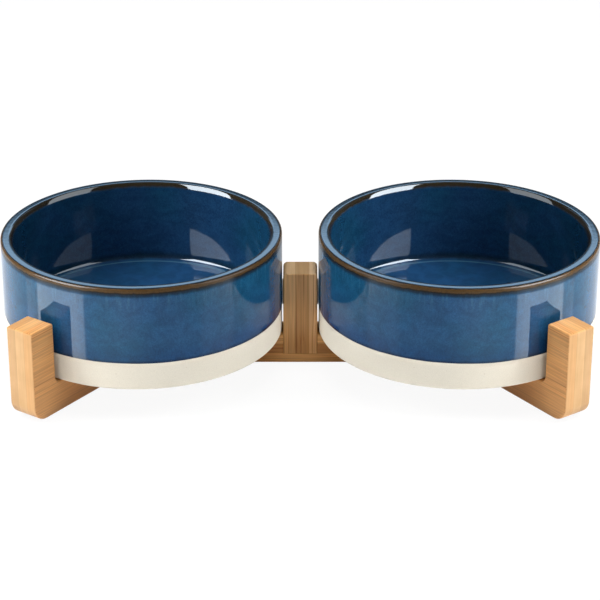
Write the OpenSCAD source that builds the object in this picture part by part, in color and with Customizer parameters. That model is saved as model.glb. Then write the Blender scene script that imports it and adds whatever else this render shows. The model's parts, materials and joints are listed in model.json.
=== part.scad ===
// Raised double pet bowl: two glazed ceramic bowls in one laminated bamboo stand.
// The stand is a beam with a post between the bowls and a fork of two L-shaped arms at each end.
// Frame: millimetres, +Z up, X along the stand, Y from front (minus) to back (plus).
// The origin is on the ground, midway between the bowls.

/* [Bowl] */
// Outer diameter of each bowl
bowl_d = 156; // [140:1:180]
// Height of each bowl
bowl_h = 59.4; // [48:0.2:80]
// Thickness of the bowl's wall
bowl_wall = 7.4; // [6:0.1:11]
// Height of the inside floor above the bowl's foot
bowl_floor_h = 10.4; // [7:0.1:14]
// Radius of the rim's outer edge
rim_outer_round = 2.4; // [1:0.1:3]
// Radius of the rim's inner edge
rim_inner_round = 2; // [1:0.1:2.8]
// Radius between the inside wall and the inside floor
floor_fillet = 7; // [3:0.5:14]
// Height of the bare clay band above the foot
clay_band_h = 16; // [8:0.5:26]
// Thickness of the glaze, which stands proud of the bare clay
glaze_t = 0.25; // [0.1:0.05:0.5]
// Radius of the outer edge of the foot
foot_round = 2; // [1.5:0.1:3]
// Width of the foot ring that the bowl rests on
foot_ring_w = 13; // [8:0.5:20]
// Depth of the recess inside the foot ring
foot_recess_h = 2.4; // [1:0.1:4]

/* [Seats] */
// Gap between a bowl and the bumper disc on the post
bumper_gap = 0.3; // [0.3:0.1:2]
// Gap between a bowl and the inside faces of its uprights
upright_gap = 3.4; // [3:0.1:6]
// How far outboard of a bowl's centre the arms meet the beam
joint_offset = 4.6; // [0:0.1:8]
// Angle of the arms from the line of the beam
arm_angle = 54.3; // [50:0.1:60]

/* [Bamboo] */
// Height of the beam and of the arms under the bowls
rail_h = 17.6; // [16:0.1:24]
// Width of the beam, of the arms and of the post from front to back
rail_w = 17.8; // [16.4:0.1:22]
// Thickness of an upright, from its inside face to its outside face
upright_t = 17.2; // [14:0.1:24]
// Height of the uprights above the beam
upright_rise = 35.6; // [34:0.1:44]
// Radius of the inside corner between arm and upright
inside_round = 4; // [2:0.5:5]
// Radius of the bottom corner below each upright
heel_round = 9; // [3:0.5:12]
// Rounding of the uprights' top edges
top_ease = 1.2; // [0.4:0.1:2]
// Width of the post along the beam
post_w = 18.2; // [14:0.1:24]
// Height of the post above the beam
post_rise = 37.2; // [36:0.1:46]
// Rounding of the post's top edges, on its left and right
post_round = 2.4; // [0.6:0.1:4]
// Depth of the housing in the beam that takes the post
housing_h = 12; // [8:0.1:12]

/* [Pads] */
// Diameter of the bumper discs on the post and on the uprights
bumper_d = 14.4; // [10:0.2:16]
// Thickness of the bumper discs
bumper_t = 0.7; // [0.5:0.1:1.5]
// Height of the bumper discs' centres above the beam
bumper_rise = 22.7; // [18:0.1:23]
// Diameter of the anti-slip feet
pad_d = 12; // [8:0.5:15]
// Thickness of the anti-slip feet
pad_t = 1; // [0.6:0.1:2]
// Distance from the edge of each anti-slip foot to the rounded corner outboard of it
pad_margin = 2; // [0.5:0.5:8]

/* [Fixings] */
// Diameter of the dowels between arms and beam
dowel_d = 6; // [4:0.5:6.5]
// Length of the dowels
dowel_l = 24; // [16:1:26]
// Height of a dowel's axis above or below the middle of the beam
dowel_rise = 4; // [3.6:0.1:4.4]
// Diameter of the screw's shank
screw_d = 4; // [3:0.1:5]
// Length of the screw, from its flat face to its tip
screw_l = 30; // [20:1:36]
// Diameter of the screw's countersunk head
screw_head_d = 8; // [7:0.1:9]
// Height of the screw's countersunk head
screw_head_h = 2.3; // [1.8:0.1:2.8]
// How far the screw's head lies below the underside of the beam
screw_sink = 0.4; // [0.2:0.1:0.8]
// Length of the cross recess in the screw's head
cross_l = 4.4; // [3:0.1:5]
// Width of the cross recess
cross_w = 0.9; // [0.6:0.1:1.2]
// Depth of the cross recess
cross_h = 1.3; // [0.8:0.1:1.6]
// Length of the screw's pointed tip
screw_tip_l = 4; // [2:0.5:6]

/* [Hidden] */
$fn = 128;
// Overrun of every cut past the face that it opens
over = 1;
// Clearance on the diameter of dowels and screws in their holes
hole_fit = 0.1;
// Space left for glue at each end of a dowel's hole
glue_room = 1;

bowl_r = bowl_d / 2;
inside_r = bowl_r - bowl_wall;
ring_inside_r = bowl_r - foot_round - foot_ring_w;
// From the middle of the post outwards: post, bumper, gap, bowl
bowl_x = post_w / 2 + bumper_t + bumper_gap + bowl_r;
rail_z = pad_t;
rail_top = rail_z + rail_h;
upright_h = rail_h + upright_rise;
// The point where the arms and the beam meet, from which an arm's lengths are measured
joint_x = bowl_x + joint_offset;
upright_in = bowl_r + upright_gap - joint_offset * cos(arm_angle);
upright_out = upright_in + upright_t;
// Half the angle between the beam and an arm, which their mitre halves
mitre_angle = (180 - arm_angle) / 2;
housing_z = rail_top - housing_h;
glaze_tint = "#2f5676";
clay_tint = "#e3dacb";
bamboo_tint = "#d9ab73";
bamboo_shade_tint = "#a9794a";
rubber_tint = "#1b1b1c";

// Flat shape to take off a convex corner at the origin, of a body at minus x and minus y
module round_off(r) {
    difference() {
        translate([-r, -r]) square(r + over);
        translate([-r, -r]) circle(r);
    }
}

// Flat shape that fills a concave corner at the origin, towards plus x and plus y
module fill_in(r) {
    difference() {
        translate([-over, -over]) square(r + over);
        translate([r, r]) circle(r);
    }
}

// Half section of the space inside a bowl, with the bowl's axis on the y axis
module cavity_section() {
    difference() {
        translate([-over, bowl_floor_h]) square([inside_r + over, bowl_h - bowl_floor_h + over]);
        translate([inside_r, bowl_floor_h]) mirror([1, 0]) fill_in(floor_fillet);
    }
    translate([inside_r, bowl_h]) mirror([1, 0]) round_off(rim_inner_round);
}

// Half section of a bowl: a glazed wall over a bare clay band that is thinner by the glaze
module bowl_section() {
    difference() {
        square([bowl_r, bowl_h]);
        translate([bowl_r, bowl_h]) round_off(rim_outer_round);
        translate([bowl_r - glaze_t, -over]) square([glaze_t + over, clay_band_h + over]);
        translate([bowl_r - glaze_t, 0]) rotate(-90) round_off(foot_round);
        translate([-over, -over]) square([ring_inside_r + over, foot_recess_h + over]);
        cavity_section();
    }
}

// The part of the half section that shows bare clay: the band and the underside
module clay_section() {
    square([bowl_r, foot_recess_h + glaze_t]);
    translate([inside_r + bowl_wall / 2, 0]) square([bowl_wall, clay_band_h]);
}

// A bowl standing on the beam and the arms, side -1 for left and 1 for right
module bowl(side) {
    translate([side * bowl_x, 0, rail_top]) {
        color(glaze_tint) rotate_extrude() difference() {
            bowl_section();
            clay_section();
        }
        color(clay_tint) rotate_extrude() intersection() {
            bowl_section();
            clay_section();
        }
    }
}

// Places children made for the front left arm: x along the arm, y across it, z from its underside
module at_arm(side_x, side_y) {
    mirror([side_x > 0 ? 1 : 0, 0, 0])
        mirror([0, side_y > 0 ? 1 : 0, 0])
            translate([-joint_x, 0, rail_z])
                rotate(180 + arm_angle) children();
}

// Side view of an arm and its upright, x along the arm and y up
module arm_section() {
    difference() {
        union() {
            square([upright_out, rail_h]);
            translate([upright_in, 0]) square([upright_t, upright_h]);
            translate([upright_in, rail_h]) mirror([1, 0]) fill_in(inside_round);
        }
        translate([upright_out, 0]) rotate(-90) round_off(heel_round);
        translate([upright_out, upright_h]) round_off(top_ease);
        translate([upright_in, upright_h]) mirror([1, 0]) round_off(top_ease);
    }
}

// Top view of an arm, its inner end cut to the mitres with the other arm and with the beam
module arm_outline() {
    half_w = rail_w / 2;
    polygon([
        [0, 0],
        [half_w / tan(arm_angle), -half_w],
        [upright_out + over, -half_w],
        [upright_out + over, half_w],
        [half_w / tan(mitre_angle), half_w]
    ]);
}

// An L-shaped arm: a rail under the bowl and an upright outside it, in one piece
module arm(side_x, side_y) {
    color(bamboo_tint) difference() {
        at_arm(side_x, side_y) intersection() {
            translate([0, rail_w / 2, 0]) rotate([90, 0, 0]) linear_extrude(rail_w) arm_section();
            linear_extrude(upright_h) arm_outline();
        }
        dowel_hole(side_x, side_y);
    }
}

// Places children on a dowel's axis: z along the dowel, its middle on the mitre of arm and beam
module at_dowel(side_x, side_y) {
    mitre_l = rail_w / 2 / sin(mitre_angle);
    rise = rail_h / 2 - side_y * dowel_rise;
    at_arm(side_x, side_y)
        rotate(mitre_angle)
            translate([mitre_l / 2, 0, rise])
                rotate([90, 0, 0]) children();
}

// Hidden dowel that joins an arm to the beam
module dowel(side_x, side_y) {
    color("burlywood") at_dowel(side_x, side_y)
        cylinder(d = dowel_d, h = dowel_l, center = true);
}

// Hole for a dowel, half in the arm and half in the beam
module dowel_hole(side_x, side_y) {
    at_dowel(side_x, side_y)
        cylinder(d = dowel_d + hole_fit, h = dowel_l + 2 * glue_room, center = true);
}

// Top view of the beam, pointed at both ends to fit between the arms
module beam_outline() {
    half_w = rail_w / 2;
    shoulder_x = joint_x - half_w / tan(mitre_angle);
    polygon([
        [-joint_x, 0],
        [-shoulder_x, -half_w],
        [shoulder_x, -half_w],
        [joint_x, 0],
        [shoulder_x, half_w],
        [-shoulder_x, half_w]
    ]);
}

// The beam under both bowls, with a housing for the post and holes for its screw and the dowels
module beam() {
    color(bamboo_shade_tint) difference() {
        translate([0, 0, rail_z]) linear_extrude(rail_h) beam_outline();
        translate([-post_w / 2, -rail_w / 2 - over, housing_z])
            cube([post_w, rail_w + 2 * over, housing_h + over]);
        screw_space();
        for (side_x = [-1, 1])
            for (side_y = [-1, 1])
                dowel_hole(side_x, side_y);
    }
}

// Front view of the post, from the floor of its housing up
module post_section() {
    post_l = housing_h + post_rise;
    difference() {
        translate([-post_w / 2, 0]) square([post_w, post_l]);
        for (side = [0, 1])
            mirror([side, 0]) translate([post_w / 2, post_l]) round_off(post_round);
    }
}

// The post between the bowls, let into the beam
module post() {
    color(bamboo_shade_tint) difference() {
        translate([0, rail_w / 2, housing_z])
            rotate([90, 0, 0]) linear_extrude(rail_w) post_section();
        screw_space();
    }
}

// Space for the screw: its shank, its countersunk head and the way in from below
module screw_space() {
    shank_r = (screw_d + hole_fit) / 2;
    head_r = (screw_head_d + hole_fit) / 2;
    translate([0, 0, rail_z]) {
        cylinder(r = shank_r, h = screw_sink + screw_l + glue_room);
        translate([0, 0, screw_sink]) cylinder(r1 = head_r, r2 = shank_r, h = screw_head_h);
        translate([0, 0, -over]) cylinder(r = head_r, h = screw_sink + over);
    }
}

// Countersunk screw driven from below, through the beam and into the post
module post_screw() {
    shank_r = screw_d / 2;
    color("silver") translate([0, 0, rail_z + screw_sink]) difference() {
        rotate_extrude() polygon([
            [0, 0],
            [screw_head_d / 2, 0],
            [shank_r, screw_head_h],
            [shank_r, screw_l - screw_tip_l],
            [0, screw_l]
        ]);
        for (turn = [0, 90])
            rotate(turn) translate([-cross_l / 2, -cross_w / 2, -over])
                cube([cross_l, cross_w, cross_h + over]);
    }
}

// Bumper disc on the left or right face of the post
module bumper_post(side) {
    color(rubber_tint) translate([side * post_w / 2, 0, rail_top + bumper_rise])
        rotate([0, side * 90, 0]) cylinder(d = bumper_d, h = bumper_t);
}

// Bumper disc on the inside face of an upright
module bumper_arm(side_x, side_y) {
    color(rubber_tint) at_arm(side_x, side_y)
        translate([upright_in, 0, rail_h + bumper_rise])
            rotate([0, -90, 0]) cylinder(d = bumper_d, h = bumper_t);
}

// Anti-slip foot under the outer end of an arm
module foot(side_x, side_y) {
    foot_x = upright_out - heel_round - pad_margin - pad_d / 2;
    color(rubber_tint) at_arm(side_x, side_y)
        translate([foot_x, 0, -pad_t]) cylinder(d = pad_d, h = pad_t);
}

bowl(-1);  // bowl_left
bowl(1);  // bowl_right
beam();
post();
arm(-1, -1);  // arm_front_left
arm(-1, 1);  // arm_back_left
arm(1, -1);  // arm_front_right
arm(1, 1);  // arm_back_right
bumper_post(-1);  // bumper_post_left
bumper_post(1);  // bumper_post_right
bumper_arm(-1, -1);  // bumper_front_left
bumper_arm(-1, 1);  // bumper_back_left
bumper_arm(1, -1);  // bumper_front_right
bumper_arm(1, 1);  // bumper_back_right
dowel(-1, -1);  // dowel_front_left
dowel(-1, 1);  // dowel_back_left
dowel(1, -1);  // dowel_front_right
dowel(1, 1);  // dowel_back_right
foot(-1, -1);  // foot_front_left
foot(-1, 1);  // foot_back_left
foot(1, -1);  // foot_front_right
foot(1, 1);  // foot_back_right
post_screw();
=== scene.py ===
"""Looks of a raised double pet bowl: two glazed stoneware bowls in a laminated bamboo stand.

Lengths are in metres, in the frame of the CAD part: +X along the stand, +Y to the back, +Z up.
"""

import json
import math

import bmesh
import bpy
from mathutils import Matrix, Vector

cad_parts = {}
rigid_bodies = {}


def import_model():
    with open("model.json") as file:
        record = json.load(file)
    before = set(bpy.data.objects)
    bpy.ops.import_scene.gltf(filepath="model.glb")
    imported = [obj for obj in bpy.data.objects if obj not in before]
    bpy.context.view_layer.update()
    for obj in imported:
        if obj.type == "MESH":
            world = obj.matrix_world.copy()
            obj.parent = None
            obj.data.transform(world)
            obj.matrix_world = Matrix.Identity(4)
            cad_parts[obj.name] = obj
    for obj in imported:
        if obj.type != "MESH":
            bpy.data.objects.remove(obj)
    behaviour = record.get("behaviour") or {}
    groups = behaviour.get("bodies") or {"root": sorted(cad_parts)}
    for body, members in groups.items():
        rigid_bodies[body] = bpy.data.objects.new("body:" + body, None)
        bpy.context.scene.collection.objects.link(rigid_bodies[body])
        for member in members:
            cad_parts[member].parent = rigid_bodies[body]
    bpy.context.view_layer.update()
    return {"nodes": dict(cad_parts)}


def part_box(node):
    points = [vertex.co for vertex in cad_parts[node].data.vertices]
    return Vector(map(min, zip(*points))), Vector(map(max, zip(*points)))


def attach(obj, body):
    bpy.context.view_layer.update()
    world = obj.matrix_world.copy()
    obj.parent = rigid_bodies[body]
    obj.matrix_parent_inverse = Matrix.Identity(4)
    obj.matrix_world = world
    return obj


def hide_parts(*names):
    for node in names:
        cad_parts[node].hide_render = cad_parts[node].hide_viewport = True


MM = 0.001

# Driving sizes. What the frame gives is read from the CAD nodes' boxes further down.
RIM_W = 7 * MM
BOWL_FLOOR_H = 10.4 * MM
WALL_LEAN = 1.6 * MM
LEAN_TOP_H = 34 * MM
LEAN_FULL_H = 17 * MM
RIM_OUTER_ROUND = 1.5 * MM
LIP_W = 1.2 * MM
LIP_DROP = 2.4 * MM
LIP_EASE = 0.4 * MM
FLOOR_FILLET = 3 * MM
FLOOR_RING_W = 5 * MM
FLOOR_RING_DROP = 0.5 * MM
CLAY_BAND_H = 16 * MM
GLAZE_T = 0.25 * MM
GLAZE_LIP = 0.5 * MM
GLAZE_WAVE = 0.16 * MM
FOOT_ROUND = 2 * MM
FOOT_RING_W = 13 * MM
FOOT_RECESS_H = 2.4 * MM
FOOT_EDGE = 0.6 * MM
GLAZE_WAVE_REACH = 2 * MM
BOWL_SEGMENTS = 288
RIM_STEPS = 12
WALL_ROWS = 33
RING_ROWS = 10
# The glaze's lower edge: shares of its thickness and of its lip's height
GLAZE_LIP_CURVE = ((0.55, 0.06), (0.84, 0.25), (0.97, 0.6), (1.0, 1.0))
# A bowl's material slots
CLAY, GLAZE, GLAZE_AT_RIM = range(3)
# Radii under this lie on the axis of a turned shape
ON_AXIS = 1e-9

JOINT_OFFSET = 4.6 * MM
ARM_ANGLE = math.radians(54.3)
UPRIGHT_GAP = 3.4 * MM
UPRIGHT_T = 17.2 * MM
INSIDE_ROUND = 4 * MM
HEEL_ROUND = 9 * MM
TOP_EASE = 1.2 * MM
EDGE_EASE = 0.9 * MM
EASE_STEPS = 4
NOTCH_EASE_SHARE = 0.3
POST_ROUND = 2.4 * MM
POST_SWELL = 0.45 * MM
CUT_OVERRUN = 12 * MM
PLIES = 3
# How far each board's pattern is shifted, along the grain and in depth, per step of its seed
GRAIN_SHIFT = (0.731, 0.217)
FRONT_ARM_SEED = 1
BACK_ARM_SEED = 2
BEAM_SEED = 5
POST_SEED = 9
# Points nearer than this to a cut count as on it
CUT_NEAR = 1e-7
# Name and sides of each corner of the stand
CORNERS = (("front_left", -1, -1), ("back_left", -1, 1), ("front_right", 1, -1), ("back_right", 1, 1))

PAD_EDGE = 0.3 * MM
PAD_SEGMENTS = 64
BUMPER_EDGE = 0.2 * MM
BUMPER_SHIFT = 0.2 * MM

CAMERA_LENS = 132.62
CAMERA_SENSOR = 36
CAMERA_AIM = Vector((0, 0, 0.03585))
CAMERA_PLACE = Vector((0, -1.1283, 0.56128))
CAMERA_SHIFT_X = -0.0005

FLOOR_REACH = 6.0
# Lamps give the colour, and cards only show in the gloss. Turns are in degrees from the front, and a
# radiance of 1 shows as plain white. Each row: role, side of the bowl, the lamp's radiance, the card's
# turn, the card's radiance.
SIDE_LAMPS = (("key", 1, 16.0, 66, 22.0), ("weak", -1, 1.6, 77, 5.0))
LAMP_TURN = 80
LAMP_AWAY = 0.58
LAMP_UP = 0.54
LAMP_SIZE = (0.42, 0.34)
CARD_AWAY = 1.0
CARD_UP = 0.96
CARD_SIZE = (0.82, 1.44)
LOW_LAMP_PLACE = (0.2, -0.04, 0.03)
LOW_LAMP_SIZE = (0.36, 0.05)
LOW_LAMP_RADIANCE = 6.5
FRONT_LAMP_TURN = 52
FRONT_LAMP_AWAY = 0.45
FRONT_LAMP_Z = 0.035
FRONT_LAMP_SIZE = (0.4, 0.07)
FRONT_LAMP_RADIANCE = 7.2
TOP_LAMP_Z = 1.3
TOP_LAMP_SIZE = (0.6, 0.6)
TOP_LAMP_RADIANCE = 8.0

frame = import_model()

bowl_lo, bowl_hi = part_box("bowl_right")
BOWL_R = (bowl_hi.x - bowl_lo.x) / 2
BOWL_X = (bowl_hi.x + bowl_lo.x) / 2
BOWL_FOOT_Z = bowl_lo.z
BOWL_H = bowl_hi.z - bowl_lo.z
INSIDE_R = BOWL_R - RIM_W

beam_lo, beam_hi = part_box("beam")
RAIL_Z = beam_lo.z
RAIL_TOP = beam_hi.z
RAIL_W = beam_hi.y - beam_lo.y
RAIL_H = RAIL_TOP - RAIL_Z

post_lo, post_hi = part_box("post")
POST_W = post_hi.x - post_lo.x + 2 * POST_SWELL
POST_TOP = post_hi.z
HOUSING_Z = post_lo.z

JOINT_X = BOWL_X + JOINT_OFFSET
UPRIGHT_IN = BOWL_R + UPRIGHT_GAP - JOINT_OFFSET * math.cos(ARM_ANGLE)
UPRIGHT_OUT = UPRIGHT_IN + UPRIGHT_T
UPRIGHT_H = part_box("arm_front_left")[1].z - RAIL_Z
MITRE_ANGLE = (math.pi - ARM_ANGLE) / 2
PLY_T = RAIL_W / PLIES


def arc(centre_x, centre_y, radius, start, end, steps):
    """Points on an arc from one angle to another, in degrees, both ends included."""
    points = []
    for step in range(steps + 1):
        angle = math.radians(start + (end - start) * step / steps)
        points.append((centre_x + radius * math.cos(angle), centre_y + radius * math.sin(angle)))
    return points


def line(start, end, steps):
    """Points on a straight line, without its ends."""
    return [
        (
            start[0] + (end[0] - start[0]) * step / steps,
            start[1] + (end[1] - start[1]) * step / steps,
        )
        for step in range(1, steps)
    ]


def curve_through(start, corner, end, pull, steps):
    """Points from start to end, start left out, bent towards a corner by a share of the way."""
    middle = (
        (start[0] + end[0]) / 2 * (1 - pull) + corner[0] * pull,
        (start[1] + end[1]) / 2 * (1 - pull) + corner[1] * pull,
    )
    points = []
    for step in range(1, steps + 1):
        share = step / steps
        weights = ((1 - share) ** 2, 2 * share * (1 - share), share**2)
        points.append(
            tuple(
                weights[0] * start[axis] + weights[1] * middle[axis] + weights[2] * end[axis]
                for axis in (0, 1)
            )
        )
    return points


def new_piece(name, vertices, faces, materials, body, replaces, face_materials=None, attributes=None):
    """A smooth mesh piece that rides on a body and stands for CAD nodes."""
    mesh = bpy.data.meshes.new(name)
    mesh.from_pydata(vertices, [], faces)
    for material in materials:
        mesh.materials.append(material)
    if face_materials:
        mesh.polygons.foreach_set("material_index", face_materials)
    for key, values in (attributes or {}).items():
        is_vector = hasattr(values[0], "__len__")
        kind = "FLOAT_VECTOR" if is_vector else "FLOAT"
        attribute = mesh.attributes.new(key, kind, "POINT")
        if is_vector:
            attribute.data.foreach_set("vector", [part for value in values for part in value])
        else:
            attribute.data.foreach_set("value", values)
    mesh.polygons.foreach_set("use_smooth", [True] * len(mesh.polygons))
    mesh.update()
    piece = bpy.data.objects.new(name, mesh)
    bpy.context.scene.collection.objects.link(piece)
    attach(piece, body)
    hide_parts(*replaces)
    return piece


def turned(profile, segments):
    """Vertices and faces of a profile of (radius, height) turned about the z axis.

    Both ends of the profile lie on the axis. Each face's row in the profile comes back too.
    """
    vertices = []
    rows = []
    for radius, height in profile:
        if radius < ON_AXIS:
            rows.append([len(vertices)])
            vertices.append((0, 0, height))
            continue
        rows.append(list(range(len(vertices), len(vertices) + segments)))
        for segment in range(segments):
            turn = 2 * math.pi * segment / segments
            vertices.append((radius * math.cos(turn), radius * math.sin(turn), height))
    faces = []
    face_rows = []
    for row in range(len(rows) - 1):
        lower, upper = rows[row], rows[row + 1]
        for segment in range(segments):
            after = (segment + 1) % segments
            if len(lower) == 1:
                faces.append((lower[0], upper[after], upper[segment]))
            elif len(upper) == 1:
                faces.append((lower[segment], lower[after], upper[0]))
            else:
                faces.append((lower[segment], lower[after], upper[after], upper[segment]))
            face_rows.append(row)
    return vertices, faces, face_rows


# Node helpers


def new_material(name):
    """An empty node material and its tree, with an output node."""
    material = bpy.data.materials.new(name)
    material.use_nodes = True
    tree = material.node_tree
    tree.nodes.clear()
    output = tree.nodes.new("ShaderNodeOutputMaterial")
    return material, tree, output


def add(tree, kind, inputs=None, **settings):
    """A node with its settings and its inputs, where an input is a value or another node's output."""
    node = tree.nodes.new(kind)
    for key, value in settings.items():
        setattr(node, key, value)
    for key, value in (inputs or {}).items():
        if isinstance(value, bpy.types.NodeSocket):
            tree.links.new(value, node.inputs[key])
        else:
            node.inputs[key].default_value = value
    return node


def math_node(tree, operation, first, second=0.0, third=0.0):
    """Output of a math node."""
    node = add(tree, "ShaderNodeMath", {0: first, 1: second, 2: third}, operation=operation)
    return node.outputs[0]


def ramp(tree, value, start, end, low=0.0, high=1.0):
    """Value mapped smoothly from start..end to low..high, and held beyond them."""
    node = add(
        tree,
        "ShaderNodeMapRange",
        {0: value, 1: start, 2: end, 3: low, 4: high},
        interpolation_type="SMOOTHSTEP",
    )
    return node.outputs[0]


def ramp_linear(tree, value, start, end):
    """Value mapped in a straight line from start..end to 0..1, and held beyond them."""
    return add(tree, "ShaderNodeMapRange", {0: value, 1: start, 2: end}).outputs[0]


def product(tree, first, second):
    """Output of a multiplication."""
    return math_node(tree, "MULTIPLY", first, second)


def mix(tree, factor, first, second, blend="MIX"):
    """Output of a colour mix."""
    node = add(tree, "ShaderNodeMix", {0: factor, 6: first, 7: second}, data_type="RGBA", blend_type=blend)
    return node.outputs[2]


def times(tree, colour, other):
    """One colour multiplied by another."""
    return mix(tree, 1.0, colour, other, "MULTIPLY")


def tinted(tree, share, colour, tint):
    """A colour taken a share of the way to its product with a tint."""
    return mix(tree, share, colour, times(tree, colour, tint))


def grey(tree, value):
    """One value as a grey colour."""
    return add(tree, "ShaderNodeCombineXYZ", {0: value, 1: value, 2: value}).outputs[0]


def set_stops(colour_ramp, stops):
    """Gives a colour ramp these (place, colour) stops."""
    while len(colour_ramp.elements) > 1:
        colour_ramp.elements.remove(colour_ramp.elements[-1])
    first = colour_ramp.elements[0]
    first.position, first.color = stops[0]
    for place, colour in stops[1:]:
        element = colour_ramp.elements.new(place)
        element.color = colour


def scaled(tree, vector, factors):
    """A vector with each of its parts multiplied."""
    node = add(tree, "ShaderNodeVectorMath", {0: vector, 1: factors}, operation="MULTIPLY")
    return node.outputs[0]


def length(tree, vector):
    """Length of a vector."""
    return add(tree, "ShaderNodeVectorMath", {0: vector}, operation="LENGTH").outputs[1]


def noise(tree, place, sizes, detail=2.0, roughness=0.5, distortion=0.0):
    """Noise from 0 to 1, with features about these sizes across in x, y and z."""
    inputs = {
        "Vector": scaled(tree, place, tuple(1 / size for size in sizes)),
        "Scale": 1.0,
        "Detail": detail,
        "Roughness": roughness,
        "Distortion": distortion,
    }
    return add(tree, "ShaderNodeTexNoise", inputs).outputs[0]


def attribute(tree, name, output):
    """A mesh attribute's output, Vector or Fac."""
    node = add(tree, "ShaderNodeAttribute", attribute_name=name, attribute_type="GEOMETRY")
    return node.outputs[output]


def object_place(tree):
    """The place in the piece's own frame."""
    return add(tree, "ShaderNodeTexCoord").outputs["Object"]


def parts(tree, vector):
    """The x, y and z outputs of a vector."""
    return add(tree, "ShaderNodeSeparateXYZ", {0: vector}).outputs


def bump(tree, height, distance, strength=1.0, normal=None):
    """Normal output of a bump node."""
    inputs = {"Height": height, "Distance": distance, "Strength": strength}
    if normal is not None:
        inputs["Normal"] = normal
    return add(tree, "ShaderNodeBump", inputs).outputs[0]


def set_surface(tree, output, inputs):
    """Makes a Principled shader with these inputs the material's surface."""
    shader = add(tree, "ShaderNodeBsdfPrincipled", inputs)
    tree.links.new(shader.outputs[0], output.inputs["Surface"])


def mix_shader(tree, factor, first, second):
    """A mix of two shader nodes."""
    return add(tree, "ShaderNodeMixShader", {0: factor, 1: first.outputs[0], 2: second.outputs[0]})


# Materials


def glaze_body(tree, place, path, height, calm, mottle):
    """The glaze's blue away from the rim, with its darker and lighter regions, and inside a painted shade and
    a painted highlight.
    """
    drift = ramp(tree, noise(tree, place, (0.05, 0.05, 0.035)), 0.35, 0.65)
    body = mix(tree, drift, (0.005, 0.046, 0.112, 1), (0.008, 0.044, 0.126, 1))
    body = tinted(tree, product(tree, ramp(tree, mottle, 0.3, 0.7), calm), body, (1.35, 1.25, 1.2, 1))
    cloud = noise(tree, place, (0.009, 0.009, 0.006), 3, 0.55, 0.6)
    body = times(tree, body, grey(tree, ramp(tree, cloud, 0.3, 0.7, 0.86, 1.14)))

    # The outer wall is lighter, but deeper near the clay and dark right at the glaze line
    down = ramp(tree, path, -20 * MM, -30 * MM)
    low = product(tree, ramp(tree, height, CLAY_BAND_H + 14 * MM, CLAY_BAND_H), down)
    body = tinted(tree, low, body, (0.45, 0.66, 0.82, 1))
    body = tinted(tree, ramp(tree, path, -2 * MM, -4 * MM), body, (1.35, 1.30, 1.14, 1))
    brim = ramp(tree, height, CLAY_BAND_H + 2.2 * MM, CLAY_BAND_H + 0.5 * MM)
    body = tinted(tree, product(tree, brim, down), body, (0.45, 0.48, 0.5, 1))

    # The inside is warmer, with painted shade at the foot of the wall and a painted highlight, a light ring
    # at the foot of the fillet
    inside = ramp(tree, path, 8 * MM, 12 * MM)
    body = tinted(tree, inside, body, (1.32, 1.05, 0.94, 1))
    # Painted shade: the inside darkens towards the floor, from 6 mm above it down to 2 mm above it
    corner = ramp(tree, height, BOWL_FLOOR_H + 6 * MM, BOWL_FLOOR_H + 2 * MM)
    corner = product(tree, product(tree, inside, corner), calm)
    body = tinted(tree, corner, body, (0.80, 0.52, 0.42, 1))
    # Painted highlight: a light ring where the fillet meets the floor
    from_axis = length(tree, scaled(tree, place, (1, 1, 0)))
    painted_highlight_ring = math_node(tree, "SUBTRACT", from_axis, INSIDE_R + WALL_LEAN - FLOOR_FILLET)
    painted_highlight_ring = ramp(tree, math_node(tree, "ABSOLUTE", painted_highlight_ring), 0.0, 1.1 * MM, 1.0, 0.0)
    painted_highlight_ring = product(tree, painted_highlight_ring, ramp(tree, path, 40 * MM, 50 * MM))
    return mix(tree, painted_highlight_ring, body, (0.045, 0.125, 0.20, 1))


def glaze_streaks(tree, place, path, body):
    """Light blue runs in the glaze, outside and just under the rim."""
    streak = noise(tree, place, (0.0016, 0.0016, 0.012))
    share = product(tree, ramp(tree, streak, 0.5, 0.72), ramp(tree, path, -16 * MM, -1 * MM))
    share = product(tree, share, ramp(tree, path, 2 * MM, 0.0))
    share = product(tree, share, 0.55)
    return mix(tree, share, body, (0.03, 0.12, 0.22, 1))


def glaze_over_rim(tree, place, path, body):
    """The glaze breaks to brown at the rim's outer edge, stays blue on its flat and is black at its lip."""
    waver = math_node(tree, "SUBTRACT", noise(tree, place, (0.004, 0.004, 0.008), 3, 0.6), 0.5)
    edge = math_node(tree, "MULTIPLY_ADD", waver, 1.6 * MM, path)
    bands = add(tree, "ShaderNodeValToRGB", {0: ramp_linear(tree, edge, -4 * MM, 16 * MM)})
    bands.color_ramp.interpolation = "EASE"
    set_stops(
        bands.color_ramp,
        [
            (0.00, (0.006, 0.035, 0.07, 0)),
            (0.10, (0.010, 0.018, 0.022, 0.8)),
            (0.15, (0.014, 0.013, 0.010, 1)),
            (0.19, (0.080, 0.044, 0.015, 1)),
            (0.27, (0.072, 0.038, 0.013, 1)),
            (0.30, (0.012, 0.013, 0.014, 1)),
            (0.325, (0.010, 0.030, 0.054, 1)),
            (0.485, (0.010, 0.030, 0.054, 1)),
            (0.515, (0.020, 0.015, 0.008, 1)),
            (0.60, (0.020, 0.015, 0.008, 1)),
            (0.73, (0.010, 0.035, 0.06, 0)),
        ],
    )
    return mix(tree, bands.outputs["Alpha"], body, bands.outputs["Color"])


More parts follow.
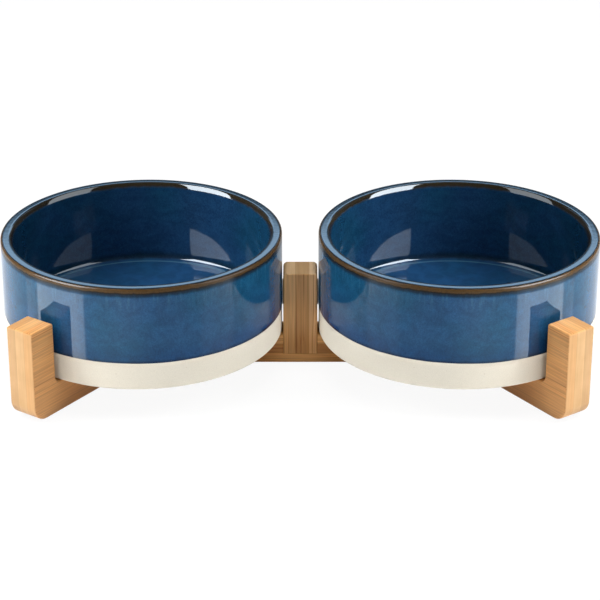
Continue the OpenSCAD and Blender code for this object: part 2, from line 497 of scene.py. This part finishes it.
def glaze_material(name, smooth, rough, specular):
    """Reactive blue glaze that breaks to brown and black over the rim.

    The path attribute is the way along the bowl's section from where the rim starts. It is below 0 on
    the outer wall and above 0 on the rim and inside. Smooth and rough are the ends of the roughness.
    """
    material, tree, output = new_material(name)
    place = attribute(tree, "local", "Vector")
    path = attribute(tree, "path", "Fac")
    height = parts(tree, place)[2]
    # The fine texture fades out on the bowl's floor
    calm = ramp(tree, height, BOWL_FLOOR_H + 0.2 * MM, BOWL_FLOOR_H + 1.5 * MM)
    mottle = noise(tree, place, (0.0011, 0.0011, 0.0016), 3, 0.6)
    body = glaze_body(tree, place, path, height, calm, mottle)
    body = glaze_streaks(tree, place, path, body)
    colour = glaze_over_rim(tree, place, path, body)
    fleck = noise(tree, place, (0.0006, 0.0006, 0.0006), 2, 0.6)
    flecks = mix(tree, calm, (1, 1, 1, 1), grey(tree, ramp(tree, fleck, 0.25, 0.75, 0.82, 1.18)))
    peel = noise(tree, place, (0.003, 0.003, 0.004), 1, 0.4)
    # The rim's flat is smoother than the rest
    flat = product(tree, ramp(tree, path, 1.8 * MM, 2.6 * MM), ramp(tree, path, 6.6 * MM, 6.0 * MM))
    roughness = ramp(tree, mottle, 0.2, 0.8, smooth, rough)
    inputs = {
        "Base Color": times(tree, colour, flecks),
        "Roughness": product(tree, roughness, ramp(tree, flat, 0.0, 1.0, 1.0, 0.6)),
        "Normal": bump(tree, peel, 0.02 * MM, product(tree, calm, 0.3)),
        "IOR": 1.5,
        "Specular IOR Level": specular,
        "Specular Tint": (0.80, 0.90, 1.0, 1.0),
    }
    set_surface(tree, output, inputs)
    return material


def clay_material():
    """Bare cream stoneware with a fine grain and faint turning lines."""
    material, tree, output = new_material("clay")
    place = attribute(tree, "local", "Vector")
    drift = noise(tree, place, (0.03, 0.03, 0.012))
    colour = mix(tree, drift, (0.69, 0.635, 0.53, 1), (0.74, 0.70, 0.60, 1))
    grain = noise(tree, place, (0.0005, 0.0005, 0.0005), 3, 0.6)
    colour = times(tree, colour, grey(tree, ramp(tree, grain, 0.2, 0.8, 0.94, 1.05)))
    speck = noise(tree, place, (0.0012, 0.0012, 0.0012), 1)
    colour = mix(tree, ramp(tree, speck, 0.74, 0.80, 0.0, 0.35), colour, (0.42, 0.32, 0.21, 1))
    turning = noise(tree, place, (0.06, 0.06, 0.0007), 2, 0.6)
    normal = bump(tree, turning, 0.06 * MM, 0.5)
    inputs = {
        "Base Color": colour,
        "Roughness": ramp(tree, grain, 0.2, 0.8, 0.72, 0.88),
        "Normal": bump(tree, grain, 0.04 * MM, 0.5, normal),
        "Specular IOR Level": 0.3,
    }
    set_surface(tree, output, inputs)
    return material


def plies(tree, across, glue_lines, tints):
    """A colour for each ply, changing at the glue lines."""
    colour = tints[0]
    for glue_line, tint in zip(glue_lines, tints[1:]):
        step = ramp(tree, across, glue_line - 0.06 * MM, glue_line + 0.06 * MM)
        colour = mix(tree, step, colour, tint)
    return colour


def glue_shade(tree, across, glue_lines):
    """Share of the dark line at each glue line."""
    gaps = [math_node(tree, "ABSOLUTE", math_node(tree, "SUBTRACT", across, at)) for at in glue_lines]
    shares = [ramp(tree, gap, 0.05 * MM, 0.25 * MM, 0.3, 0.0) for gap in gaps]
    glue = shares[0]
    for share in shares[1:]:
        glue = math_node(tree, "MAXIMUM", glue, share)
    return glue


def painted_shade_and_flame_low(tree, board, across, figure_and_foot_shade, colour):
    """Painted shade low down under the bowls, and along the whole foot of a board whose figure_and_foot_shade
    is above 0, which also gets a dark flame in its grain near the foot.
    """
    place = parts(tree, object_place(tree))
    sideways = math_node(tree, "SUBTRACT", math_node(tree, "ABSOLUTE", place[0]), BOWL_X)
    from_axis = length(tree, add(tree, "ShaderNodeCombineXYZ", {0: sideways, 1: place[1]}).outputs[0])
    low = ramp(tree, place[2], RAIL_TOP + 10 * MM, RAIL_TOP - 10 * MM)
    # Painted shade: darker low down under each bowl, and along the whole foot of a board by
    # figure_and_foot_shade
    under = product(tree, ramp(tree, from_axis, BOWL_R * 0.76, BOWL_R * 1.1, 1.0, 0.0), low)
    under = math_node(tree, "MAXIMUM", under, product(tree, low, figure_and_foot_shade))
    colour = tinted(tree, under, colour, (0.80, 0.66, 0.44, 1))
    flame = ramp(tree, noise(tree, board, (0.02, 0.0011, 0.02), 3, 0.7, 0.6), 0.48, 0.66)
    middle = ramp(tree, math_node(tree, "ABSOLUTE", across), 1.5 * MM, 4 * MM, figure_and_foot_shade, 0.0)
    flame = product(tree, product(tree, flame, low), middle)
    return tinted(tree, flame, colour, (0.62, 0.46, 0.30, 1))


def bamboo_material(name, glue_lines, tints, figure_and_foot_shade=0.0):
    """Laminated bamboo under a satin lacquer, with painted shade where it sits under the bowls.

    The board attribute runs along the grain in x and across the plies in y. The end attribute is 1 on
    end grain. Figure_and_foot_shade is the strength of a dark flame near the foot of the board and of painted
    shade along that foot.
    """
    material, tree, output = new_material(name)
    board = attribute(tree, "board", "Vector")
    end = ramp(tree, attribute(tree, "end", "Fac"), 0.55, 0.95)
    across = parts(tree, board)[1]
    colour = plies(tree, across, glue_lines, tints)
    drift = noise(tree, board, (0.07, 0.012, 0.012))
    colour = times(tree, colour, mix(tree, drift, (0.86, 0.82, 0.76, 1), (1.10, 1.12, 1.16, 1)))
    streak = noise(tree, board, (0.04, 0.0016, 0.03), 2, 0.6)
    colour = times(tree, colour, mix(tree, streak, (0.85, 0.77, 0.66, 1), (1.14, 1.17, 1.20, 1)))
    colour = tinted(tree, end, colour, (1.04, 1.19, 1.45, 1))
    fibre = noise(tree, board, (0.05, 0.0008, 0.0008), 3, 0.6)
    lines = grey(tree, ramp(tree, fibre, 0.25, 0.75, 0.76, 1.16))
    colour = times(tree, colour, mix(tree, end, lines, (1, 1, 1, 1)))
    # Painted shade under the bowls and along the foot, and a dark flame in the grain
    colour = painted_shade_and_flame_low(tree, board, across, figure_and_foot_shade, colour)

    # Fibre bundles, as long dark lines on the faces
    stretched = scaled(tree, board, (1 / 0.09, 1 / 0.0014, 1 / 0.0014))
    cells = add(tree, "ShaderNodeTexVoronoi", {"Vector": stretched, "Scale": 1.0}, feature="F1")
    bundle = ramp(tree, cells.outputs["Distance"], 0.12, 0.34, 1.0, 0.0)
    bundle_share = product(tree, bundle, ramp(tree, end, 0.0, 1.0, 0.75, 0.0))
    colour = tinted(tree, bundle_share, colour, (0.62, 0.48, 0.36, 1))
    colour = tinted(tree, glue_shade(tree, across, glue_lines), colour, (0.5, 0.38, 0.28, 1))

    normal = bump(tree, fibre, 0.03 * MM, 0.4)
    inputs = {
        "Base Color": colour,
        "Roughness": ramp(tree, fibre, 0.2, 0.8, 0.42, 0.58),
        "Normal": bump(tree, math_node(tree, "SUBTRACT", 1.0, bundle), 0.03 * MM, 0.3, normal),
        "Specular IOR Level": 0.3,
        "Coat Weight": 0.12,
        "Coat Roughness": 0.28,
    }
    set_surface(tree, output, inputs)
    return material


def rubber_material():
    """Matte black rubber with a fine moulded grain."""
    material, tree, output = new_material("rubber")
    place = object_place(tree)
    grain = noise(tree, place, (0.0004, 0.0004, 0.0004))
    dust = noise(tree, place, (0.004, 0.004, 0.004))
    dusty = ramp(tree, dust, 0.35, 0.75)
    inputs = {
        "Base Color": mix(tree, dusty, (0.012, 0.012, 0.013, 1), (0.024, 0.023, 0.022, 1)),
        "Roughness": ramp(tree, dust, 0.2, 0.8, 0.55, 0.72),
        "Normal": bump(tree, grain, 0.03 * MM, 0.4),
    }
    set_surface(tree, output, inputs)
    return material


def beech_material():
    """Bare turned beech for the dowels."""
    material, tree, output = new_material("beech")
    ray = noise(tree, object_place(tree), (0.004, 0.004, 0.0008), 3, 0.6)
    inputs = {
        "Base Color": mix(tree, ray, (0.60, 0.41, 0.22, 1), (0.73, 0.54, 0.33, 1)),
        "Roughness": ramp(tree, ray, 0.2, 0.8, 0.60, 0.75),
        "Normal": bump(tree, ray, 0.04 * MM, 0.4),
    }
    set_surface(tree, output, inputs)
    return material


def zinc_material():
    """Zinc plated steel for the screw."""
    material, tree, output = new_material("zinc")
    cloud = noise(tree, object_place(tree), (0.003, 0.003, 0.003), 3, 0.6)
    inputs = {
        "Base Color": mix(tree, cloud, (0.52, 0.52, 0.53, 1), (0.70, 0.69, 0.66, 1)),
        "Roughness": ramp(tree, cloud, 0.2, 0.8, 0.26, 0.42),
        "Normal": bump(tree, cloud, 0.01 * MM, 0.3),
        "Metallic": 1.0,
    }
    set_surface(tree, output, inputs)
    return material


# Bowls


def bowl_profile():
    """Half section of a bowl from the middle of its underside over the rim to the middle of its floor.

    Returns the points, and the place in them where the glaze starts and where the outer rounding starts.
    """
    clay_r = BOWL_R - GLAZE_T
    recess_r = BOWL_R - FOOT_ROUND - FOOT_RING_W
    points = [(0, FOOT_RECESS_H)]
    points += line((0, FOOT_RECESS_H), (recess_r, FOOT_RECESS_H), 6)
    points += arc(recess_r - FOOT_EDGE, FOOT_RECESS_H - FOOT_EDGE, FOOT_EDGE, 90, 0, 4)
    points += arc(recess_r + FOOT_EDGE, FOOT_EDGE, FOOT_EDGE, 180, 270, 5)
    points += arc(clay_r - FOOT_ROUND, FOOT_ROUND, FOOT_ROUND, -90, 0, 10)
    points += line(points[-1], (clay_r, CLAY_BAND_H), 5)
    points.append((clay_r, CLAY_BAND_H))
    glaze_start = len(points) - 1
    for share, rise in GLAZE_LIP_CURVE:
        points.append((clay_r + GLAZE_T * share, CLAY_BAND_H + GLAZE_LIP * rise))
    wall_top = BOWL_H - RIM_OUTER_ROUND
    points += line(points[-1], (BOWL_R, wall_top), 12)
    rim_start = len(points)
    outer = arc(BOWL_R - RIM_OUTER_ROUND, wall_top, RIM_OUTER_ROUND, 0, 90, RIM_STEPS)
    points += outer
    crest = (INSIDE_R + LIP_W + LIP_EASE, BOWL_H)
    points += line(outer[-1], crest, 5)
    lip_end = (INSIDE_R, BOWL_H - LIP_DROP)
    points += curve_through(crest, (INSIDE_R + LIP_W, BOWL_H), lip_end, 0.75, 14)
    foot_z = BOWL_FLOOR_H + FLOOR_FILLET
    slope = WALL_LEAN / ((LEAN_TOP_H + LEAN_FULL_H) / 2 - FLOOR_FILLET)
    bend = LEAN_TOP_H - LEAN_FULL_H
    for step in range(1, WALL_ROWS):
        z = lip_end[1] + (foot_z - lip_end[1]) * step / WALL_ROWS
        below = BOWL_FLOOR_H + LEAN_TOP_H - z
        lean = max(0.0, below) ** 2 / (2 * bend) if below < bend else below - bend / 2
        points.append((INSIDE_R + slope * lean, z))
    fillet_x = INSIDE_R + WALL_LEAN - FLOOR_FILLET
    points += arc(fillet_x, foot_z, FLOOR_FILLET, 0, -90, 12)
    for step in range(1, RING_ROWS + 1):
        share = step / RING_ROWS
        fall = FLOOR_RING_DROP * share**2 * (3 - 2 * share)
        points.append((fillet_x - FLOOR_RING_W * share, BOWL_FLOOR_H - fall))
    floor_r, floor_z = points[-1]
    points += line((floor_r, floor_z), (0, floor_z), 16)
    points.append((0, floor_z))
    return points, glaze_start, rim_start


def glaze_edge_wave(turn):
    """Small rise and fall of the glaze line round the bowl, from -1 to 1."""
    waves = ((3, 0.4, 0.45), (7, 1.9, 0.25), (13, 4.1, 0.2), (29, 0.8, 0.1))
    return sum(share * math.sin(count * turn + phase) for count, phase, share in waves)


def bowl_slots(face_rows, glaze_start, rim_start):
    """Material slot of each face, from its row in the profile."""
    slots = []
    for row in face_rows:
        if row < glaze_start:
            slots.append(CLAY)
        elif rim_start - 2 < row < rim_start + RIM_STEPS:
            slots.append(GLAZE_AT_RIM)
        else:
            slots.append(GLAZE)
    return slots


def bowl(side, name, materials):
    """One bowl, with the glaze and the bare clay as materials on one turned mesh."""
    profile, glaze_start, rim_start = bowl_profile()
    travel = [0.0]
    for before, after in zip(profile, profile[1:]):
        travel.append(travel[-1] + math.dist(before, after))
    vertices, faces, face_rows = turned(profile, BOWL_SEGMENTS)
    row_of = []
    for row, (radius, _) in enumerate(profile):
        row_of += [row] * (1 if radius < ON_AXIS else BOWL_SEGMENTS)
    placed = []
    local = []
    path = []
    for (x, y, z), row in zip(vertices, row_of):
        if glaze_start - 2 <= row < rim_start:
            near_line = max(0.0, 1 - abs(z - CLAY_BAND_H) / GLAZE_WAVE_REACH)
            z += GLAZE_WAVE * glaze_edge_wave(math.atan2(y, x)) * near_line
        # The pattern on the right bowl mirrors that on the left one
        local.append((-side * x, y, z))
        placed.append((x + side * BOWL_X, y, z + BOWL_FOOT_Z))
        path.append(travel[row] - travel[rim_start])
    return new_piece(
        name + "_stoneware",
        placed,
        faces,
        materials,
        name,
        [name],
        bowl_slots(face_rows, glaze_start, rim_start),
        {"local": local, "path": path},
    )


# Boards


def arm_outline(inset):
    """Side view of an arm and its upright, x along the arm, drawn in from its outline."""
    top = UPRIGHT_H - inset
    outer = UPRIGHT_OUT - inset
    inner = UPRIGHT_IN + inset
    ease = TOP_EASE - inset
    heel = HEEL_ROUND - inset
    hollow = INSIDE_ROUND + inset
    rail = RAIL_H - inset
    points = [(-CUT_OVERRUN, inset)]
    points += arc(outer - heel, inset + heel, heel, -90, 0, 12)
    points += arc(outer - ease, top - ease, ease, 0, 90, 5)
    points += arc(inner + ease, top - ease, ease, 90, 180, 5)
    points += arc(inner - hollow, rail + hollow, hollow, 0, -90, 8)
    points.append((-CUT_OVERRUN, rail))
    return points


def post_outline(inset):
    """Front view of the post, from the floor of its housing up."""
    half = POST_W / 2 - inset
    top = POST_TOP - HOUSING_Z - inset
    rounding = POST_ROUND - inset
    points = [(-half, 0), (half, 0)]
    points += arc(half - rounding, top - rounding, rounding, 0, 90, 7)
    points += arc(-half + rounding, top - rounding, rounding, 90, 180, 7)
    return points


def beam_outline(inset):
    """Front view of the beam, with the housing for the post."""
    end = JOINT_X + CUT_OVERRUN
    notch_inset = inset * NOTCH_EASE_SHARE
    notch = POST_W / 2 + notch_inset
    floor = HOUSING_Z - RAIL_Z - notch_inset
    top = RAIL_H - inset
    right = [(end, inset), (end, top), (notch, top), (notch, floor)]
    left = [(-notch, floor), (-notch, top), (-end, top)]
    return [(-end, inset)] + right + left


def eased_prism(outline, width, ease):
    """bmesh of an outline in x and z, extruded along y, with its long edges rounded over."""
    front = []
    for step in range(EASE_STEPS + 1):
        angle = math.radians(90 * step / EASE_STEPS)
        front.append((-width / 2 + ease - ease * math.cos(angle), ease - ease * math.sin(angle)))
    back = [(-y, inset) for y, inset in reversed(front)]
    work = bmesh.new()
    loops = []
    for y, inset in front + back:
        loops.append([work.verts.new((x, y, z)) for x, z in outline(inset)])
    count = len(loops[0])
    for lower, upper in zip(loops, loops[1:]):
        for index in range(count):
            after = (index + 1) % count
            work.faces.new((lower[index], lower[after], upper[after], upper[index]))
    work.faces.new(list(reversed(loops[0])))
    work.faces.new(loops[-1])
    return work


def saw(work, point, normal):
    """Cuts a bmesh with a plane and closes it, keeping what lies behind the normal."""
    geometry = work.verts[:] + work.edges[:] + work.faces[:]
    cut = bmesh.ops.bisect_plane(
        work, geom=geometry, dist=CUT_NEAR, plane_co=point, plane_no=normal, clear_outer=True
    )
    edges = [item for item in cut["geom_cut"] if isinstance(item, bmesh.types.BMEdge)]
    bmesh.ops.edgeloop_fill(work, edges=edges)


def board(name, work, place, grain, seed, material):
    """A piece from a bmesh in its own frame. Grain gives which of its axes run along and across the plies."""
    bmesh.ops.recalc_face_normals(work, faces=work.faces[:])
    work.verts.index_update()
    work.normal_update()
    vertices = [place @ vertex.co for vertex in work.verts]
    along = [tuple(vertex.co[axis] for axis in grain) for vertex in work.verts]
    along = [(x + seed * GRAIN_SHIFT[0], y, z + seed * GRAIN_SHIFT[1]) for x, y, z in along]
    end = [abs(vertex.normal[grain[0]]) for vertex in work.verts]
    faces = [[vertex.index for vertex in face.verts] for face in work.faces]
    work.free()
    patterns = {"board": along, "end": end}
    piece = new_piece(
        name + "_board", vertices, faces, [material], "stand", [name], None, patterns
    )
    modifier = piece.modifiers.new("even_shading", "WEIGHTED_NORMAL")
    modifier.weight = 50
    modifier.keep_sharp = True
    return piece


def mirror(side_x, side_y):
    """Mirrors the front left arm's frame to another corner."""
    return Matrix.Diagonal((-1 if side_x > 0 else 1, -1 if side_y > 0 else 1, 1, 1))


def arm_frame(side_x, side_y):
    """Frame of an arm: x along it from the joint, z up from its underside."""
    turn = Matrix.Rotation(math.pi + ARM_ANGLE, 4, "Z")
    shift = Matrix.Translation((-JOINT_X, 0, RAIL_Z))
    return mirror(side_x, side_y) @ shift @ turn


def arm(side_x, side_y, name, seed, material):
    """An L-shaped arm, its inner end cut to the mitres with the other arm and with the beam."""
    work = eased_prism(arm_outline, RAIL_W, EDGE_EASE)
    saw(work, (0, 0, 0), (-math.sin(ARM_ANGLE), -math.cos(ARM_ANGLE), 0))
    saw(work, (0, 0, 0), (-math.sin(MITRE_ANGLE), math.cos(MITRE_ANGLE), 0))
    return board(name, work, arm_frame(side_x, side_y), (0, 1, 2), seed, material)


def beam(material):
    """The beam, pointed at both ends to fit between the arms."""
    work = eased_prism(beam_outline, RAIL_W, EDGE_EASE)
    for side_x in (-1, 1):
        for side_y in (-1, 1):
            saw(
                work,
                (side_x * JOINT_X, 0, 0),
                (side_x * math.sin(MITRE_ANGLE), side_y * math.cos(MITRE_ANGLE), 0),
            )
    return board("beam", work, Matrix.Translation((0, 0, RAIL_Z)), (0, 2, 1), BEAM_SEED, material)


def post(material):
    """The post between the bowls, with upright grain."""
    work = eased_prism(post_outline, RAIL_W, EDGE_EASE)
    return board("post", work, Matrix.Translation((0, 0, HOUSING_Z)), (2, 0, 1), POST_SEED, material)


# Pads


def disc_profile(radius, height, edge):
    """Half section of a disc with rounded edges, from the middle of its underside up."""
    points = [(0, 0), (radius * 0.5, 0)]
    points += arc(radius - edge, edge, edge, -90, 0, 5)
    points += arc(radius - edge, height - edge, edge, 0, 90, 5)
    points += [(radius * 0.5, height), (0, height)]
    return points


def disc(node, edge, axis_frame, material, shift=0.0):
    """A rounded disc in place of a CAD disc, in a frame whose z axis is the disc's."""
    lo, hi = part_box(node)
    centre = (lo + hi) / 2
    corners = [vertex.co for vertex in frame["nodes"][node].data.vertices]
    axis = axis_frame.col[2]
    heights = [(corner - centre).dot(axis) for corner in corners]
    spans = [((corner - centre) - axis * (corner - centre).dot(axis)).length for corner in corners]
    radius = max(spans)
    height = max(heights) - min(heights)
    vertices, faces, _ = turned(disc_profile(radius, height, edge), PAD_SEGMENTS)
    start = centre + axis * (min(heights) + shift)
    placed = [start + axis_frame @ Vector(vertex) for vertex in vertices]
    return new_piece(node + "_pad", placed, faces, [material], "stand", [node])


def pads(material):
    """All bumper discs and anti-slip feet."""
    for corner, side_x, side_y in CORNERS:
        disc("foot_" + corner, PAD_EDGE, Matrix.Identity(3), material)
        inward = (arm_frame(side_x, side_y).to_3x3() @ Vector((-1, 0, 0))).normalized()
        disc("bumper_" + corner, BUMPER_EDGE, inward.to_track_quat("Z", "Y").to_matrix(), material)
    for side, name in ((-1, "bumper_post_left"), (1, "bumper_post_right")):
        outward = Vector((side, 0, 0))
        disc(name, BUMPER_EDGE, outward.to_track_quat("Z", "Y").to_matrix(), material, BUMPER_SHIFT)


def fixings():
    """The hidden dowels and the screw keep their CAD shapes."""
    looks = (("dowel", beech_material()), ("post_screw", zinc_material()))
    for name, node in frame["nodes"].items():
        for start, material in looks:
            if name.startswith(start):
                node.data.materials.clear()
                node.data.materials.append(material)


# Stage


def floor_material():
    """Pale floor: white to the camera, with the object's soft shadow, and a sheen in reflections. In
    reflections its glow is painted darker between the bowls.
    """
    material, tree, output = new_material("floor")
    paths = add(tree, "ShaderNodeLightPath").outputs
    plain = add(tree, "ShaderNodeBsdfDiffuse", {"Color": (0.68, 0.68, 0.68, 1)})
    place = object_place(tree)
    away = length(tree, place)
    white = add(tree, "ShaderNodeEmission", {"Strength": ramp(tree, away, 0.5, 1.2, 0.93, 1.0)})
    shade = add(tree, "ShaderNodeBsdfDiffuse", {"Color": (0.07, 0.07, 0.07, 1)})
    seen = add(tree, "ShaderNodeAddShader", {0: shade.outputs[0], 1: white.outputs[0]})
    sideways = math_node(tree, "ABSOLUTE", parts(tree, place)[0])
    # Painted shade in reflections: the floor glows less between the bowls and a little above white further
    # out
    dim = add(tree, "ShaderNodeEmission", {"Strength": ramp(tree, sideways, 0.04, 0.15, 0.55, 1.15)})
    sheen = add(tree, "ShaderNodeBsdfGlossy", {"Roughness": 0.12})
    mirrored = mix_shader(tree, ramp(tree, sideways, 0.10, 0.17, 0.012, 0.16), dim, sheen)
    lit = mix_shader(tree, paths["Is Camera Ray"], plain, seen)
    final = mix_shader(tree, paths["Is Glossy Ray"], lit, mirrored)
    tree.links.new(final.outputs[0], output.inputs["Surface"])
    return material


def floor():
    """A wide plane under the object."""
    corners = [(x * FLOOR_REACH, y * FLOOR_REACH, 0) for x, y in ((-1, -1), (1, -1), (1, 1), (-1, 1))]
    mesh = bpy.data.meshes.new("floor")
    mesh.from_pydata(corners, [], [(0, 1, 2, 3)])
    mesh.materials.append(floor_material())
    plane = bpy.data.objects.new("floor", mesh)
    bpy.context.scene.collection.objects.link(plane)


def softbox(name, place, aim, size, radiance, lit, for_gloss=False):
    """A rectangular lamp on the pieces in one collection, either for their colour or for their gloss."""
    data = bpy.data.lights.new(name, "AREA")
    data.shape = "RECTANGLE"
    data.size, data.size_y = size
    data.energy = radiance * math.pi * size[0] * size[1]
    lamp = bpy.data.objects.new(name, data)
    bpy.context.scene.collection.objects.link(lamp)
    lamp.location = place
    lamp.rotation_mode = "QUATERNION"
    lamp.rotation_quaternion = (Vector(aim) - Vector(place)).to_track_quat("-Z", "Y")
    lamp.visible_camera = False
    lamp.visible_diffuse = not for_gloss
    lamp.visible_glossy = for_gloss
    if lit is not None:
        lamp.light_linking.receiver_collection = lit
    return lamp


def half(name, side, words=("",)):
    """Collection of one side's pieces, and those in the middle, with one of the words in their names."""
    made = bpy.data.collections.new(name)
    for thing in bpy.context.scene.objects:
        if thing.type != "MESH" or not any(word in thing.name for word in words):
            continue
        reach = [side * (thing.matrix_world @ Vector(corner)).x for corner in thing.bound_box]
        if max(reach) > 0:
            made.objects.link(thing)
    return made


def around(centre, turn, away, up=0.0):
    """A place away from a centre, turned in degrees from the front towards +X, and raised."""
    turn = math.radians(turn)
    return centre + Vector((math.sin(turn), -math.cos(turn), 0)) * away + Vector((0, 0, up))


def side_lights(side, word):
    """Lamps and cards of one half: strong ones outboard of its bowl, weak ones across from them."""
    lit = half("lit_" + word, side)
    glossy = half("glossy_" + word, side, ("stoneware", "floor"))
    flank = half("flank_" + word, side, ("stoneware",))
    bowl_place = Vector((side * BOWL_X, 0, BOWL_FOOT_Z + BOWL_H / 2))
    for role, across, lamp_radiance, card_turn, card_radiance in SIDE_LAMPS:
        facing = side * across
        place = around(bowl_place, facing * LAMP_TURN, LAMP_AWAY, LAMP_UP)
        softbox("lamp_%s_%s" % (role, word), place, bowl_place, LAMP_SIZE, lamp_radiance, lit)
        place = around(bowl_place, facing * card_turn, CARD_AWAY, CARD_UP)
        aim = bowl_place + Vector((0, 0, CARD_UP))
        softbox("card_%s_%s" % (role, word), place, aim, CARD_SIZE, card_radiance, glossy, True)
    away, front, z = LOW_LAMP_PLACE
    place = Vector((-side * away, front, z))
    aim = Vector((side * BOWL_X, 0, z))
    low = softbox("lamp_low_" + word, place, aim, LOW_LAMP_SIZE, LOW_LAMP_RADIANCE, flank)
    low.light_linking.blocker_collection = lit
    place = around(bowl_place, side * FRONT_LAMP_TURN, FRONT_LAMP_AWAY)
    place.z = FRONT_LAMP_Z
    softbox("lamp_front_" + word, place, aim, FRONT_LAMP_SIZE, FRONT_LAMP_RADIANCE, flank)


def lights():
    """The lamps of each half, and one above both."""
    side_lights(-1, "left")
    side_lights(1, "right")
    softbox("lamp_top", (0, 0, TOP_LAMP_Z), (0, 0, 0), TOP_LAMP_SIZE, TOP_LAMP_RADIANCE, None)


def world():
    """White to the camera. On the object, a bright horizon under a dim ceiling."""
    made = bpy.data.worlds.new("studio")
    bpy.context.scene.world = made
    made.use_nodes = True
    tree = made.node_tree
    tree.nodes.clear()
    output = tree.nodes.new("ShaderNodeOutputWorld")
    paths = add(tree, "ShaderNodeLightPath").outputs
    _, back, up = parts(tree, add(tree, "ShaderNodeTexCoord").outputs["Generated"])
    white = add(tree, "ShaderNodeBackground", {"Color": (1, 1, 1, 1), "Strength": 1.0})

    # For colour: brightest at the horizon and to the front
    horizon = grey(tree, ramp(tree, back, -0.1, -0.6, 1.0, 1.9))
    sky = parts(tree, mix(tree, ramp(tree, up, 0.01, 0.19), horizon, (0.13, 0.13, 0.13, 1)))[0]
    soft = add(tree, "ShaderNodeBackground", {"Strength": sky})

    # For gloss: dark, with a blue-white band behind that the rim's flat reflects
    dark = grey(tree, ramp(tree, back, -0.1, 0.3, 0.05, 0.12))
    band = product(tree, ramp(tree, up, 0.379, 0.400), ramp(tree, up, 0.424, 0.45, 1.0, 0.0))
    band = product(tree, band, ramp(tree, back, 0.3, 0.6))
    mirrored = add(tree, "ShaderNodeBackground", {"Color": mix(tree, band, dark, (1.5, 2.15, 2.85, 1))})
    seen = math_node(tree, "MAXIMUM", paths["Is Camera Ray"], paths["Is Transmission Ray"])
    final = mix_shader(tree, paths["Is Glossy Ray"], mix_shader(tree, seen, soft, white), mirrored)
    tree.links.new(final.outputs[0], output.inputs["Surface"])


def camera():
    """The photograph's camera."""
    data = bpy.data.cameras.new("camera")
    data.lens = CAMERA_LENS
    data.sensor_width = CAMERA_SENSOR
    data.shift_x = CAMERA_SHIFT_X
    view = bpy.data.objects.new("camera", data)
    bpy.context.scene.collection.objects.link(view)
    view.location = CAMERA_PLACE
    view.rotation_mode = "QUATERNION"
    view.rotation_quaternion = (CAMERA_AIM - CAMERA_PLACE).to_track_quat("-Z", "Y")
    bpy.context.scene.camera = view


camera()

stoneware = [
    clay_material(),
    glaze_material("glaze", 0.035, 0.06, 0.5),
    glaze_material("glaze_at_rim", 0.16, 0.24, 0.22),
]
bowl(-1, "bowl_left", stoneware)
bowl(1, "bowl_right", stoneware)

arm_bamboo = bamboo_material(
    "bamboo_arm",
    (-PLY_T / 2, PLY_T / 2),
    ((0.62, 0.335, 0.135, 1), (0.70, 0.392, 0.158, 1), (0.70, 0.355, 0.128, 1)),
)
beam_bamboo = bamboo_material(
    "bamboo_beam",
    (RAIL_H / 3, RAIL_H * 2 / 3),
    ((0.70, 0.36, 0.12, 1), (0.50, 0.22, 0.06, 1), (0.74, 0.40, 0.14, 1)),
)
post_bamboo = bamboo_material(
    "bamboo_post",
    (-2.8 * MM, 4.9 * MM),
    ((0.72, 0.42, 0.18, 1), (0.57, 0.30, 0.11, 1), (0.75, 0.45, 0.21, 1)),
    # Strength of the dark flame and of the painted shade along the post's foot
    0.8,
)
for corner_name, corner_x, corner_y in CORNERS:
    arm_seed = FRONT_ARM_SEED if corner_y < 0 else BACK_ARM_SEED
    arm(corner_x, corner_y, "arm_" + corner_name, arm_seed, arm_bamboo)
beam(beam_bamboo)
post(post_bamboo)
pads(rubber_material())
fixings()
floor()
lights()
world()

scene = bpy.context.scene
scene.view_settings.view_transform = "Standard"
